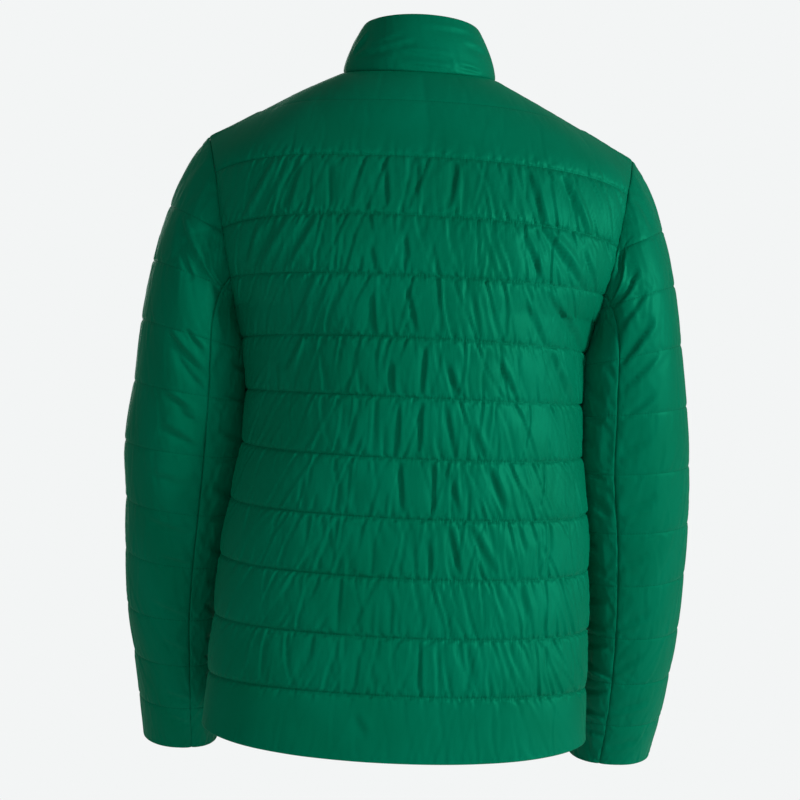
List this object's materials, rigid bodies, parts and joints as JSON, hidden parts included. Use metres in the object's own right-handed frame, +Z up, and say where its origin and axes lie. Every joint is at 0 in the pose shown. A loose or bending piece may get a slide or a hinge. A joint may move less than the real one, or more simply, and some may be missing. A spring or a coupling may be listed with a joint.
{
  "type": "quilted puffer jacket",
  "caption": "Hip-length quilted jacket with a stand collar, set-in two-piece sleeves and a full front zip, hollow and held in its worn pose.",
  "frame": {"origin": "centre of the neck base, between the shoulder seams, where the shoulders carry the jacket", "axes": "+Z up, the jacket's front faces -Y, its back +Y, the wearer's left sleeve is at +X"},
  "size_m": [0.6013, 0.2782, 0.7841],
  "materials": {
    "shell": "thin taffeta with a soft satin sheen, quilted over wadding",
    "zip_tape": "woven tape, matt",
    "zip_teeth": "moulded, satin",
    "zip_slider": "painted zinc, satin"
  },
  "bodies": {
    "jacket": {"back_panel": "shell", "front_panel_left": "shell", "front_panel_right": "shell", "upper_sleeve_left": "shell", "under_sleeve_left": "shell", "upper_sleeve_right": "shell", "under_sleeve_right": "shell", "stand_collar": "shell", "zip_tape_left": "zip_tape", "zip_tape_right": "zip_tape", "zip_chain": "zip_teeth", "zip_bottom_box": "zip_slider", "zip_slider": "zip_slider"},
    "pull_tab": {"zip_pull": "zip_slider"}
  },
  "joints": [
    {"name": "pull_tab_swing", "type": "hinge", "parent": "jacket", "child": "pull_tab", "pos_m": [0, -0.07456, -0.00589], "axis": [-1, 0, 0], "range_deg": [0, 150]}
  ]
}
